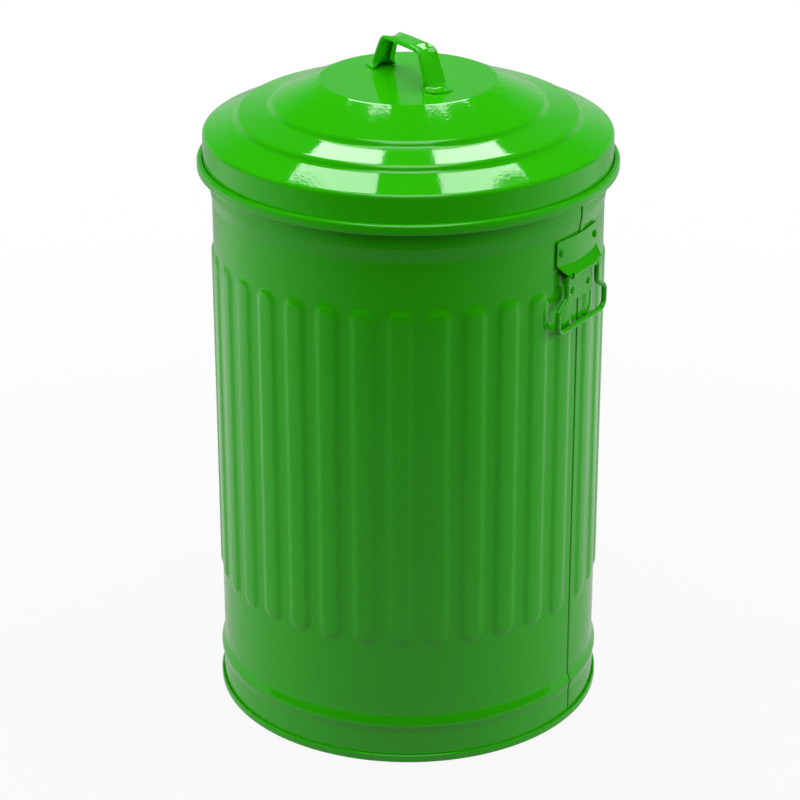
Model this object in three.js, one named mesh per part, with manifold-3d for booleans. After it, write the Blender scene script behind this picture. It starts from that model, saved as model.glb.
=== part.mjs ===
// Round steel bin with a loose stepped lid, a lid handle and two hanging side bails.
// Millimetres, +Z up. The origin is the middle of the footprint and the side handles lie on X.
import * as THREE from 'three';
import { mergeVertices } from 'three/addons/utils/BufferGeometryUtils.js';
import Module from 'manifold-3d';

const wasm = await Module();
wasm.setup();

// ---------------------------------------------------------------- driving dimensions
// Fits and stock
const CLEARANCE = 0.3; // gap between pieces that seat on each other
const SHEET = 1.0; // steel sheet of the wall, the base and the lid
const FITTING_SHEET = 1.2; // steel sheet of the side brackets and the lid handle
const ROUND_FACETS = 48; // flats round each turned piece, a multiple of 4

// Can wall, from the floor up
const WALL_RADIUS = 181.8; // outside of the plain wall
const CAN_HEIGHT = 565.7; // top of the rolled rim
const FOOT_STEP = 1.5; // the foot of the wall stands this much wider
const SWAGE_BOTTOM = 30.5;
const SWAGE_WIDTH = 18.0; // height taken by the rolled bead round the foot
const SWAGE_DEPTH = 3.6; // crest of that bead beyond the plain wall
const SWAGE_CREST = 0.47; // share of the bead's height at which its crest lies
const FLARE_DROP = 63.7; // from the rim down to the foot of the flare
const FLARE_HEIGHT = 12.5;
const COLLAR_STEP = 2.0; // the smooth collar under the rim stands this much wider
const COLLAR_DROP = 14.7; // from the rim down to the top of the collar
const NECK_HEIGHT = 7.5; // height in which the collar leans in to the rim wire
const NECK_STEP = 0.1; // the neck stands this much wider than the plain wall

// Pressed ribs
const RIB_COUNT = 34;
const SEAM_PITCHES = 1.3; // rib spacing across the seam, in ordinary pitches
const RIB_BOTTOM = 123.0;
const RIB_TOP_DROP = 10.2; // the ribs end this far under the bail pivots, clear of the bracket's flange
const RIB_DEPTH = 1.8;
const RIB_CREST = 0.4; // share of a pitch that the crest takes
const RIB_FOOT = 0.72; // share of a pitch that the whole rib takes
const RIB_END_LENGTH = 11.0; // length in which a rib swells to its full section
const RIB_SWELL = { along: 0.25, depth: 0.5, spread: 0.62 }; // shares of a rib's size part way into its end

// Lock seam down the side
const STRIP_WIDTH = 6.0;
const STRIP_DEPTH = 0.8;
const CREVICE_WIDTH = 1.4;
const CREVICE_DEPTH = 0.5;
const FOLD_DEPTH = 1.0; // the folded seam stands this far into the can
const SEAM_RUN_OUT = 3.0; // height in which the fold is hammered flat above the base panel

// Rim wire and base
const WIRE_DIAMETER = 4.0;
const BASE_DEPTH = 9.0; // the base panel stands this far off the ground
const CHIME_HEIGHT = 7.5;
const CHIME_LIP = 2.2; // how far the folded chime reaches in over the wall's foot
const FOOT_FLANGE = 1.2; // how far the wall's foot turns out inside the chime

// Lid, from the middle out: a flat disc and three sloping terraces
const TERRACE_WIDTHS = [44.0, 30.4, 28.9];
const TERRACE_DROPS = [19.8, 5.7, 10.9];
const RISER_WIDTH = 1.5;
const RISER_DROPS = [4.7, 5.3];
const SHOULDER_WIDTH = 1.0; // the shoulder turns down to the skirt within this width
const SHOULDER_DROP = 2.2;
const SKIRT_DROP = 35.2; // from the shoulder to the lid's lower edge
const SKIRT_FLARE = 0.4;
const LID_PLAY = 0.4; // slack between the rim and the lid's skirt
const ROLL_HEIGHT = 10.2;
const ROLL_WIDTH = 5.5;
const ROLL_RADIUS = 3.0;
const ROLL_GAP = 0.8; // the roll's edge stops this far short of the skirt

// Lid handle, a channel-shaped strap
const HANDLE_ANGLE = -22.5; // degrees round from +X
const HANDLE_HEIGHT = 36.1;
const HANDLE_TOP_LENGTH = 61.0; // between the bends of the grip
const HANDLE_FOOT_SPAN = 91.0; // between the bends above the feet
const HANDLE_TAB_SPAN = 116.0; // between the outer faces of the tabs
const HANDLE_WIDTH = 20.0;
const HANDLE_FOOT_WIDTH = 25.0;
const HANDLE_EDGE = 4.6; // depth of the turned-in edges
const HANDLE_EDGE_ROUND = 2.6;
const LEAST_BEND = 0.3; // inner bend where the turned-in edge has all but run out
const FOOT_EDGE = 0.4; // what is left of the turned-in edges at the feet
const HANDLE_BEND = 9.0;
const FOOT_BEND = 7.0;
const FOOT_RISE = 5.0; // the foot starts to lie down at this height
const TAB_WIDTH = 17.0;
const TAB_BOW = 16.0; // radius of the curved tab seen from above
const TAB_HOOK = 6.0; // length of tab turned in under the lid
const HOOK_SHARE = 0.7; // share of the tab's width that is turned in
const SLOT_OVERRUN = 2.5; // the slot runs on past each end of its tab

// Side bracket: a flange, a sloping hood, a knuckle round the bail and a tongue
const PIVOT_OUT = 4.7; // bail pivot beyond the plain wall
const PIVOT_DROP = 99.5; // from the rim down to the bail pivots
const FLANGE_WIDTH = 71.0;
const FLANGE_RISE = 33.8; // from the pivot up to the flange's top
const HOOD_LIP_WIDTH = 60.0;
const TONGUE_WIDTH = 41.6;
const TONGUE_DROP = 27.7; // from the pivot down to the tongue's end
const KNUCKLE_FROM = -145; // degrees round the bail at which the knuckle starts
const KNUCKLE_TO = 50;
const BAIL_PLAY = 0.4; // slack of the bail's wire in the knuckle
const PLATE_CORNER = 2.5;
const FLANGE_RIVET_SPACING = 59.0;
const FLANGE_RIVET_RISE = 22.8;
const TONGUE_RIVET_SPACING = 28.8;
const TONGUE_RIVET_DROP = 17.2;

// Rivets
const SHANK_DIAMETER = 4.0;
const HEAD_DIAMETER = 6.8;
const HEAD_HEIGHT = 2.2;
const TAIL_DIAMETER = 6.4;
const TAIL_HEIGHT = 1.2;
const TAIL_END = 0.8; // share of the tail's width left at its end
const DOME = [[1, 0], [0.88, 0.5], [0.5, 0.9], [0, 1]]; // outline of the head, in shares of its radius and height

// Bail, bent from round wire
const BAIL_WIRE = 5.0;
const BAIL_SHOULDER_WIDTH = 54.0; // between the legs where they leave the knuckle
const BAIL_GRIP_WIDTH = 84.0; // between the legs at the grip
const BAIL_KINK_DROP = 19.0; // from the pivot to the start of the outward kink
const BAIL_KINK_HEIGHT = 14.0;
const BAIL_DROP = 51.2; // from the pivot to the middle of the grip bar
const BAIL_GAP = 1.0; // between the wire's two ends inside the knuckle
const BAIL_CORNER = 8.0;
const BAIL_FACETS = 8;

// ---------------------------------------------------------------- sizes that follow
const TURN = 2 * Math.PI;
const RIB_PITCH = TURN / (RIB_COUNT - 1 + SEAM_PITCHES);
const PIVOT_HEIGHT = CAN_HEIGHT - PIVOT_DROP;
const RIB_TOP = PIVOT_HEIGHT - RIB_TOP_DROP;
const FLARE_BOTTOM = CAN_HEIGHT - FLARE_DROP;
const COLLAR_TOP = CAN_HEIGHT - COLLAR_DROP;
const FOOT_RADIUS = WALL_RADIUS + FOOT_STEP;
const COLLAR_RADIUS = WALL_RADIUS + COLLAR_STEP;
const WIRE_RADIUS = WIRE_DIAMETER / 2;
const CURL_INSIDE = WIRE_RADIUS + CLEARANCE;
const CURL_OUTSIDE = CURL_INSIDE + SHEET;
const RIM_HEIGHT = CAN_HEIGHT - CURL_OUTSIDE;
const RIM_RADIUS = WALL_RADIUS + CURL_INSIDE + NECK_STEP;
const CHIME_TOP_INSIDE = CHIME_HEIGHT - SHEET;
const PANEL_TOP = BASE_DEPTH + SHEET;
const PIVOT_RADIUS = WALL_RADIUS + PIVOT_OUT;
const FLANGE_INSIDE = WALL_RADIUS + STRIP_DEPTH + CLEARANCE;
const TONGUE_INSIDE = WALL_RADIUS + RIB_DEPTH + CLEARANCE;
const KNUCKLE_INSIDE = BAIL_WIRE / 2 + BAIL_PLAY;
const KNUCKLE_OUTSIDE = KNUCKLE_INSIDE + FITTING_SHEET;
const TAIL_SEAT = (WALL_RADIUS - SHEET) * Math.cos(Math.PI / ROUND_FACETS) - CLEARANCE;
const RIVET_HOLE = SHANK_DIAMETER / 2 + CLEARANCE;
const SKIRT_TOP_RADIUS = RIM_RADIUS + CURL_OUTSIDE + LID_PLAY + SHEET;
const SKIRT_RADIUS = SKIRT_TOP_RADIUS + SKIRT_FLARE;
const SHOULDER_RADIUS = SKIRT_TOP_RADIUS - SHOULDER_WIDTH;

const SLIGHT_BEND = 0.37; // a bend of less than this, in radians, stays a plain corner
const HALF_TURNED = 1 - Math.SQRT1_2; // where a quarter arc stands at 45 degrees, in shares of its radius
const BAR_FACETS = 120; // flats round the bars that trim the brackets to the wall

// ---------------------------------------------------------------- outlines
// Points of an arc that rounds the corner of a line, as a list of [x, y].
function roundedCorner(before, corner, after, radius) {
  const into = new THREE.Vector2(before[0] - corner[0], before[1] - corner[1]);
  const out = new THREE.Vector2(after[0] - corner[0], after[1] - corner[1]);
  const room = 0.499 * Math.min(into.length(), out.length());
  into.normalize();
  out.normalize();
  const half = Math.acos(THREE.MathUtils.clamp(into.dot(out), -1, 1)) / 2;
  const reach = Math.min(radius / Math.tan(half), room);
  const turn = Math.PI - 2 * half;
  if (reach < 0.02 || turn < SLIGHT_BEND) {
    return [[corner[0], corner[1]]];
  }
  const arcRadius = reach * Math.tan(half);
  const toCentre = into.clone().add(out).normalize();
  const centre = toCentre.multiplyScalar(arcRadius / Math.sin(half)).add(new THREE.Vector2(...corner));
  const start = new THREE.Vector2(...corner).addScaledVector(into, reach).sub(centre);
  const spin = Math.sign(into.cross(out)) * -1;
  const steps = Math.max(1, Math.round(turn / (arcRadius > 2 ? 0.75 : 1.5)));
  const points = [];
  for (let step = 0; step <= steps; step++) {
    const arm = start.clone().rotateAround(new THREE.Vector2(), (spin * turn * step) / steps);
    points.push([centre.x + arm.x, centre.y + arm.y]);
  }
  return points;
}

// A line through [x, y, radius] corners, with each corner rounded to its radius.
function roundedLine(corners) {
  return corners.flatMap((corner, index) => {
    const [x, y, radius] = corner;
    if (!radius || index === 0 || index === corners.length - 1) {
      return [[x, y]];
    }
    return roundedCorner(corners[index - 1], [x, y], corners[index + 1], radius);
  });
}

// The same line moved to its left by a distance, with each bend kept concentric.
function lineToTheLeft(corners, distance) {
  const normals = corners.slice(1).map(([x, y], index) => {
    const along = new THREE.Vector2(x - corners[index][0], y - corners[index][1]).normalize();
    return new THREE.Vector2(-along.y, along.x);
  });
  return corners.map(([x, y, radius = 0], index) => {
    const before = normals[Math.max(index - 1, 0)];
    const after = normals[Math.min(index, normals.length - 1)];
    const mitre = before.clone().add(after).normalize();
    const reach = distance / mitre.dot(before);
    const bend = radius - Math.sign(before.cross(after)) * distance;
    return [x + mitre.x * reach, y + mitre.y * reach, radius ? Math.max(bend, 0) : 0];
  });
}

// Closed section of bent sheet: the given face, then the other face back to the start.
function sheetSection(corners, thickness) {
  return [...roundedLine(corners), ...roundedLine(lineToTheLeft(corners, thickness)).reverse()];
}

// ---------------------------------------------------------------- solids
function solidOf(geometry) {
  const bare = geometry.clone();
  bare.deleteAttribute('normal');
  bare.deleteAttribute('uv');
  const merged = mergeVertices(bare, 1e-5);
  const vertProperties = new Float32Array(merged.attributes.position.array);
  const triVerts = new Uint32Array(merged.index.array);
  return new wasm.Manifold(new wasm.Mesh({ numProp: 3, vertProperties, triVerts }));
}

function geometryOf(solid) {
  const { vertProperties, triVerts } = solid.getMesh();
  const geometry = new THREE.BufferGeometry();
  geometry.setAttribute('position', new THREE.BufferAttribute(vertProperties, 3));
  geometry.setIndex(new THREE.BufferAttribute(triVerts, 1));
  return geometry;
}

const joined = (pieces) => pieces.reduce((whole, piece) => whole.add(piece));
const without = (solid, cutters) => cutters.reduce((left, cutter) => left.subtract(cutter), solid);

// Turned piece about Z from a section of [radius, height] points.
function turned(section, facets = ROUND_FACETS) {
  const points = section.map(([radius, height]) => new THREE.Vector2(radius, height));
  return new THREE.LatheGeometry(points, facets).rotateX(Math.PI / 2);
}

const closedLoop = (section) => [...section, section[0]];

// Plate between two heights from an outline of [x, y] points.
function plate(outline, low, high) {
  const shape = new THREE.Shape(outline.map(([x, y]) => new THREE.Vector2(x, y)));
  return new THREE.ExtrudeGeometry(shape, { depth: high - low, bevelEnabled: false }).translate(0, 0, low);
}

// Part of a flat ring about the origin, as an outline, from one angle to another.
function ringSector(inside, outside, from, to, steps) {
  const angles = Array.from({ length: steps + 1 }, (_, step) => from + ((to - from) * step) / steps);
  const arc = (radius, list) => list.map((a) => [radius * Math.cos(a), radius * Math.sin(a)]);
  return [...arc(outside, angles), ...arc(inside, [...angles].reverse())];
}

// ---------------------------------------------------------------- can wall
// Height of the lock seam's strip and crevice at each edge across it, in millimetres round the wall.
const SEAM_EDGES = [
  { along: -CREVICE_WIDTH / 2, outside: 0, inside: 0 },
  { along: -CREVICE_WIDTH / 4, outside: -CREVICE_DEPTH, inside: -FOLD_DEPTH },
  { along: CREVICE_WIDTH / 4, outside: -CREVICE_DEPTH, inside: -FOLD_DEPTH },
  { along: CREVICE_WIDTH / 2, outside: STRIP_DEPTH, inside: -FOLD_DEPTH },
  { along: CREVICE_WIDTH / 2 + STRIP_WIDTH, outside: STRIP_DEPTH, inside: -FOLD_DEPTH },
  { along: CREVICE_WIDTH / 2 + STRIP_WIDTH + STRIP_DEPTH, outside: 0, inside: 0 },
];

// Radius on a flat of the regular round, so that extra points leave the flats flat.
function radiusOnFlat(radius, angle) {
  const flat = TURN / ROUND_FACETS;
  const offMiddle = THREE.MathUtils.euclideanModulo(angle, flat) - flat / 2;
  return (radius * Math.cos(flat / 2)) / Math.cos(offMiddle);
}

function seamColumns(face, amount, radiusAt) {
  return SEAM_EDGES.map((edge) => {
    const angle = edge.along / WALL_RADIUS;
    return { angle, radius: radiusAt(angle) + edge[face] * amount };
  });
}

// Ring of the plain wall: one column at each corner of the round, and the seam's columns at 0.
function plainRing(radius, height, face, seam) {
  const columns = seamColumns(face, seam, (angle) => radiusOnFlat(radius, angle));
  for (let corner = 1; corner < ROUND_FACETS; corner++) {
    columns.push({ angle: (TURN * corner) / ROUND_FACETS, radius });
  }
  return columns.map((column) => ({ ...column, height }));
}

// Ring across the ribs: foot, crest, crest and foot of each rib, and the seam's columns.
function ribbedRing(radius, height, face, depth, spread) {
  const columns = seamColumns(face, 1, () => radius);
  const firstRib = (SEAM_PITCHES * RIB_PITCH) / 2;
  for (let rib = 0; rib < RIB_COUNT; rib++) {
    const middle = firstRib + rib * RIB_PITCH;
    const foot = (RIB_FOOT / 2) * RIB_PITCH * spread;
    const crest = (RIB_CREST / 2) * RIB_PITCH * spread;
    columns.push({ angle: middle - foot, radius });
    columns.push({ angle: middle - crest, radius: radius + RIB_DEPTH * depth });
    columns.push({ angle: middle + crest, radius: radius + RIB_DEPTH * depth });
    columns.push({ angle: middle + foot, radius });
  }
  return columns.map((column) => ({ ...column, height }));
}

// Rings of the ribbed band from the bottom up, on one face of the sheet.
function ribbedBand(radius, face) {
  const ends = [RIB_SWELL, { along: 1, depth: 1, spread: 1 }];
  const lower = ends.map((end) => [RIB_BOTTOM + end.along * RIB_END_LENGTH, end]);
  const upper = [...ends].reverse().map((end) => [RIB_TOP - end.along * RIB_END_LENGTH, end]);
  return [
    plainRing(radius, RIB_BOTTOM, face, 1),
    ...[...lower, ...upper].map(([height, end]) => ribbedRing(radius, height, face, end.depth, end.spread)),
    plainRing(radius, RIB_TOP, face, 1),
  ];
}

// Joins neighbouring rings with triangles, stepping along whichever ring is behind.
function zipRings(rings) {
  const positions = [];
  const starts = [];
  for (const ring of rings) {
    starts.push(positions.length / 3);
    for (const { angle, radius, height } of ring) {
      positions.push(radius * Math.cos(angle), radius * Math.sin(angle), height);
    }
  }
  const triangles = [];
  rings.forEach((ring, index) => {
    const next = rings[(index + 1) % rings.length];
    const [low, high] = [starts[index], starts[(index + 1) % rings.length]];
    const angleOf = (columns, k) => (k < columns.length ? columns[k].angle : TURN + columns[0].angle);
    let [here, there] = [0, 0];
    while (here < ring.length || there < next.length) {
      const stepHere =
        there === next.length || (here < ring.length && angleOf(ring, here + 1) <= angleOf(next, there + 1));
      const a = low + (here % ring.length);
      const b = high + (there % next.length);
      if (stepHere) {
        here += 1;
        triangles.push(a, low + (here % ring.length), b);
      } else {
        there += 1;
        triangles.push(a, high + (there % next.length), b);
      }
    }
  });
  const geometry = new THREE.BufferGeometry();
  geometry.setAttribute('position', new THREE.Float32BufferAttribute(positions, 3));
  geometry.setIndex(triangles);
  return geometry;
}

// Outer face of the wall from the flange in the chime to the end of the curl round the rim wire.
function wallLine() {
  const swageTop = SWAGE_BOTTOM + SWAGE_WIDTH;
  const swageMiddle = SWAGE_BOTTOM + SWAGE_WIDTH * SWAGE_CREST;
  const curlLeft = RIM_RADIUS - CURL_INSIDE;
  const curlRight = RIM_RADIUS + CURL_INSIDE;
  const flangeHeight = CHIME_TOP_INSIDE - CLEARANCE;
  return {
    below: [
      [FOOT_RADIUS + FOOT_FLANGE, flangeHeight],
      [FOOT_RADIUS, flangeHeight],
      [FOOT_RADIUS, PANEL_TOP],
      [FOOT_RADIUS, PANEL_TOP + SEAM_RUN_OUT],
      [FOOT_RADIUS, SWAGE_BOTTOM, 4],
      [WALL_RADIUS + SWAGE_DEPTH, swageMiddle, 7],
      [WALL_RADIUS, swageTop, 4],
      [WALL_RADIUS, RIB_BOTTOM],
    ],
    above: [
      [WALL_RADIUS, RIB_TOP],
      [WALL_RADIUS, FLARE_BOTTOM, 6],
      [COLLAR_RADIUS, FLARE_BOTTOM + FLARE_HEIGHT, 6],
      [COLLAR_RADIUS, COLLAR_TOP],
      [curlLeft, COLLAR_TOP + NECK_HEIGHT],
      [curlLeft, RIM_HEIGHT + CURL_INSIDE, CURL_INSIDE],
      [curlRight, RIM_HEIGHT + CURL_INSIDE, CURL_INSIDE],
      [curlRight, RIM_HEIGHT - CURL_INSIDE, CURL_INSIDE],
      [RIM_RADIUS, RIM_HEIGHT - CURL_INSIDE],
    ],
  };
}

// The folded seam runs from just above the base panel to the top of the collar.
const seamAt = (height) => (height > PANEL_TOP + SEAM_RUN_OUT / 2 && height < COLLAR_TOP + SHEET ? 1 : 0);

function canWall() {
  const { below, above } = wallLine();
  const rings = (line, face) => line.map(([radius, z]) => plainRing(radius, z, face, seamAt(z)));
  const innerBelow = roundedLine(lineToTheLeft(below, SHEET)).reverse();
  const innerAbove = roundedLine(lineToTheLeft(above, SHEET)).reverse();
  const wall = zipRings([
    ...rings(roundedLine(below).slice(0, -1), 'outside'),
    ...ribbedBand(WALL_RADIUS, 'outside'),
    ...rings(roundedLine(above).slice(1), 'outside'),
    ...rings(innerAbove.slice(0, -1), 'inside'),
    ...ribbedBand(WALL_RADIUS - SHEET, 'inside').reverse(),
    ...rings(innerBelow.slice(1), 'inside'),
  ]);
  return geometryOf(without(solidOf(wall), sideFittingAngles().flatMap(rivetHoles)));
}

function rimWire() {
  const steps = Array.from({ length: 8 }, (_, k) => (TURN * k) / 8);
  const section = steps.map((a) => [RIM_RADIUS + WIRE_RADIUS * Math.cos(a), RIM_HEIGHT + WIRE_RADIUS * Math.sin(a)]);
  return turned(closedLoop(section));
}

// ---------------------------------------------------------------- base
// Pressed pan whose edge turns down to the ground and folds up and in over the wall's foot.
function basePlate() {
  const panelEdge = FOOT_RADIUS - SHEET - CLEARANCE - SHEET;
  const chimeInside = FOOT_RADIUS + FOOT_FLANGE + CLEARANCE;
  const chimeOutside = chimeInside + SHEET;
  const face = [
    [0, BASE_DEPTH],
    [panelEdge, BASE_DEPTH, 1.2],
    [panelEdge, 0],
    [chimeOutside, 0, 1.2],
    [chimeOutside, CHIME_HEIGHT, 1.2],
    [chimeOutside - CHIME_LIP, CHIME_HEIGHT],
  ];
  return turned(sheetSection(face, SHEET));
}

// ---------------------------------------------------------------- lid
// Outer face from the middle of the disc to the shoulder, as [radius, height] below the disc.
function terraceLine() {
  const terraceSpan = TERRACE_WIDTHS.reduce((sum, width) => sum + width, 0);
  const discRadius = SHOULDER_RADIUS - terraceSpan - RISER_DROPS.length * RISER_WIDTH;
  const line = [[0, 0], [discRadius, 0, 6]];
  let [radius, height] = [discRadius, 0];
  TERRACE_WIDTHS.forEach((width, terrace) => {
    radius += width;
    height -= TERRACE_DROPS[terrace];
    if (terrace < RISER_DROPS.length) {
      line.push([radius, height]);
      radius += RISER_WIDTH;
      height -= RISER_DROPS[terrace];
      line.push([radius, height]);
    }
  });
  line.push([SHOULDER_RADIUS, height, 3]);
  return line;
}

function lidShell() {
  const line = terraceLine();
  const shoulderHeight = line.at(-1)[1];
  const bottom = shoulderHeight - SKIRT_DROP;
  const rollOutside = SKIRT_RADIUS + ROLL_WIDTH - SHEET;
  const rollTop = bottom + ROLL_HEIGHT - SHEET;
  const rollInside = ROLL_RADIUS - SHEET;
  line.push([SKIRT_TOP_RADIUS, shoulderHeight - SHOULDER_DROP, 3]);
  line.push([SKIRT_RADIUS, rollTop]);
  line.push([SKIRT_RADIUS, bottom + SHEET, rollInside]);
  line.push([rollOutside, bottom + SHEET, rollInside]);
  line.push([rollOutside, rollTop, rollInside]);
  line.push([SKIRT_RADIUS + ROLL_GAP, rollTop]);
  const face = [...line].reverse();
  const underside = lineToTheLeft(face, SHEET);
  const section = [...roundedLine(underside).reverse(), ...roundedLine(face)];
  const slots = [0, Math.PI].map((turn) => solidOf(handleSlot().rotateZ(turn + HANDLE_TURN)));
  return geometryOf(without(solidOf(turned(section)), slots));
}

// Height of the disc at which the outermost terrace rests just clear of the rolled rim.
function discHeight() {
  const line = terraceLine();
  const [outerRadius, outerHeight] = line.at(-1);
  const slope = Math.atan2(TERRACE_DROPS.at(-1), TERRACE_WIDTHS.at(-1));
  const overRim = outerHeight + (outerRadius - RIM_RADIUS) * Math.tan(slope);
  return RIM_HEIGHT + (CURL_OUTSIDE + CLEARANCE + SHEET) / Math.cos(slope) - overRim;
}

// ---------------------------------------------------------------- lid handle
const HANDLE_TURN = THREE.MathUtils.degToRad(HANDLE_ANGLE);

// A curved band at one end of the handle, seen from above, whose outer arc passes the tab's face.
function tabOutline(widthAcross, inward, outward) {
  const halfAngle = Math.asin(widthAcross / 2 / TAB_BOW);
  const outline = ringSector(TAB_BOW - FITTING_SHEET - inward, TAB_BOW + outward, -halfAngle, halfAngle, 4);
  return outline.map(([x, y]) => [x + HANDLE_TAB_SPAN / 2 - TAB_BOW, y]);
}

function handleSlot() {
  return plate(tabOutline(TAB_WIDTH + 2 * SLOT_OVERRUN, CLEARANCE, CLEARANCE), -SHEET - 1, 1);
}

// Channel section of the strap as a ring: outer face from one edge to the other, then inner face back.
function strapSection(halfWidth, edge) {
  const round = Math.min(HANDLE_EDGE_ROUND, edge);
  const half = (width, bend, top) => [
    [width - bend, top],
    [width - bend * HALF_TURNED, top - bend * HALF_TURNED],
    [width, top - bend],
    [width, -edge],
  ];
  const outer = half(halfWidth, round, 0);
  const inner = half(halfWidth - FITTING_SHEET, Math.max(round - FITTING_SHEET, LEAST_BEND), -FITTING_SHEET);
  const mirrored = (list) => list.map(([across, out]) => [-across, out]);
  return [...mirrored(outer).reverse(), ...outer, ...[...inner].reverse(), ...mirrored(inner)];
}

// Stations along the strap's outer face, from the end of one foot over the grip to the other.
function strapStations() {
  const footLine = FITTING_SHEET + FOOT_EDGE + CLEARANCE;
  const half = [
    [HANDLE_TOP_LENGTH / 2, HANDLE_HEIGHT, HANDLE_BEND],
    [HANDLE_FOOT_SPAN / 2, FOOT_RISE, FOOT_BEND],
    [HANDLE_TAB_SPAN / 2, footLine],
  ];
  const mirrored = half.map(([along, ...rest]) => [-along, ...rest]).reverse();
  const line = roundedLine([...mirrored, ...half]);
  return line.map(([along, height], index) => {
    const before = line[Math.max(index - 1, 0)];
    const after = line[Math.min(index + 1, line.length - 1)];
    const run = new THREE.Vector2(after[0] - before[0], after[1] - before[1]).normalize();
    const drop = THREE.MathUtils.clamp((HANDLE_HEIGHT - height) / (HANDLE_HEIGHT - FOOT_RISE), 0, 1);
    const isTip = index === 0 || index === line.length - 1;
    return { along, height, run, drop, isTip };
  });
}

// The strap's section at one station: wider and flatter towards the foot, and bowed in plan there.
function strapRing({ along, height, run, drop, isTip }) {
  const flattened = THREE.MathUtils.smoothstep(drop, 0.7, 1);
  const edge = THREE.MathUtils.lerp(HANDLE_EDGE, FITTING_SHEET + FOOT_EDGE, flattened);
  const width = isTip ? TAB_WIDTH : THREE.MathUtils.lerp(HANDLE_WIDTH, HANDLE_FOOT_WIDTH, drop);
  const bowed = THREE.MathUtils.smoothstep(drop, 0.8, 1) * Math.sign(along);
  return strapSection(width / 2, edge).map(([across, out]) => {
    const bow = TAB_BOW - Math.sqrt(TAB_BOW ** 2 - across ** 2);
    return [along - run.y * out - bow * bowed, across, height + run.x * out];
  });
}

// Skins a row of rings of equal count and caps both ends across the section.
function skinRings(rings) {
  const count = rings[0].length;
  const triangles = [];
  for (let ring = 0; ring + 1 < rings.length; ring++) {
    for (let k = 0; k < count; k++) {
      const a = ring * count + k;
      const b = ring * count + ((k + 1) % count);
      triangles.push(a, b + count, b, a, a + count, b + count);
    }
  }
  const last = (rings.length - 1) * count;
  for (let k = 0; k + 1 < count / 2; k++) {
    const [a, b, c, d] = [k, k + 1, count - 2 - k, count - 1 - k];
    triangles.push(a, b, c, a, c, d);
    triangles.push(last + a, last + c, last + b, last + a, last + d, last + c);
  }
  const geometry = new THREE.BufferGeometry();
  geometry.setAttribute('position', new THREE.Float32BufferAttribute(rings.flat(2), 3));
  geometry.setIndex(triangles);
  return geometry;
}

// Channel strap whose feet end in curved tabs, hooked over under the lid.
function lidHandle() {
  const strap = solidOf(skinRings(strapStations().map(strapRing)));
  const hookTop = -SHEET - CLEARANCE;
  const hookBottom = hookTop - FITTING_SHEET;
  const tabs = [0, Math.PI].flatMap((turn) => [
    solidOf(plate(tabOutline(TAB_WIDTH, 0, 0), hookBottom, FITTING_SHEET + FOOT_EDGE).rotateZ(turn)),
    solidOf(plate(tabOutline(TAB_WIDTH * HOOK_SHARE, TAB_HOOK, 0), hookBottom, hookTop).rotateZ(turn)),
  ]);
  return geometryOf(joined([strap, ...tabs]));
}

// ---------------------------------------------------------------- side fittings
// The two brackets face +X and -X.
function sideFittingAngles() {
  return [0, Math.PI];
}

const flangeRivets = {
  spacing: FLANGE_RIVET_SPACING,
  height: PIVOT_HEIGHT + FLANGE_RIVET_RISE,
  inside: FLANGE_INSIDE,
};
const tongueRivets = {
  spacing: TONGUE_RIVET_SPACING,
  height: PIVOT_HEIGHT - TONGUE_RIVET_DROP,
  inside: TONGUE_INSIDE,
};

// Each rivet of a bracket at +X: its turn about Z, its height and where its head seats.
function rivetPlaces() {
  return [flangeRivets, tongueRivets].flatMap(({ spacing, height, inside }) => {
    const seat = inside + FITTING_SHEET + CLEARANCE;
    const turn = Math.asin(spacing / 2 / seat);
    return [-turn, turn].map((angle) => ({ angle, height, seat }));
  });
}

// Cutters for the rivet holes of the bracket at one side.
function rivetHoles(side) {
  return rivetPlaces().map(({ angle, height }) => {
    const drill = new THREE.CylinderGeometry(RIVET_HOLE, RIVET_HOLE, WALL_RADIUS / 4, 8).rotateZ(Math.PI / 2);
    return solidOf(drill.translate(WALL_RADIUS, 0, height).rotateZ(angle + side));
  });
}

function rivet(grip) {
  const [shank, head, tail] = [SHANK_DIAMETER / 2, HEAD_DIAMETER / 2, TAIL_DIAMETER / 2];
  const section = [
    [0, -grip - TAIL_HEIGHT],
    [tail * TAIL_END, -grip - TAIL_HEIGHT],
    [tail, -grip],
    [shank, -grip],
    [shank, 0],
    ...DOME.map(([across, up]) => [head * across, HEAD_HEIGHT * up]),
  ];
  return turned(section, 8).rotateY(Math.PI / 2);
}

// Turns a piece drawn in X and Y and raised along Z so that it is drawn in Y and Z and raised along X.
const facingX = (geometry) => geometry.rotateX(Math.PI / 2).rotateZ(Math.PI / 2);

// Prism along Y from a section of [radius, height] points.
const alongY = (section, width) => plate(section, -width / 2, width / 2).rotateX(Math.PI / 2);

function roundBar(radius) {
  return solidOf(new THREE.CylinderGeometry(radius, radius, 2 * CAN_HEIGHT, BAR_FACETS).rotateX(Math.PI / 2));
}

// Sheet curved round the can, trimmed to an outline with rounded corners as seen from +X.
function curvedPlate(inside, width, low, high) {
  const half = width / 2;
  const outline = roundedLine([
    [0, low],
    [half, low, PLATE_CORNER],
    [half, high, PLATE_CORNER],
    [-half, high, PLATE_CORNER],
    [-half, low, PLATE_CORNER],
    [0, low],
  ]).slice(1);
  const reach = Math.asin(half / inside) * 1.2;
  const band = ringSector(inside, inside + FITTING_SHEET, -reach, reach, 8);
  return solidOf(plate(band, low - 1, high + 1)).intersect(solidOf(facingX(plate(outline, 0, 2 * inside))));
}

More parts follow.
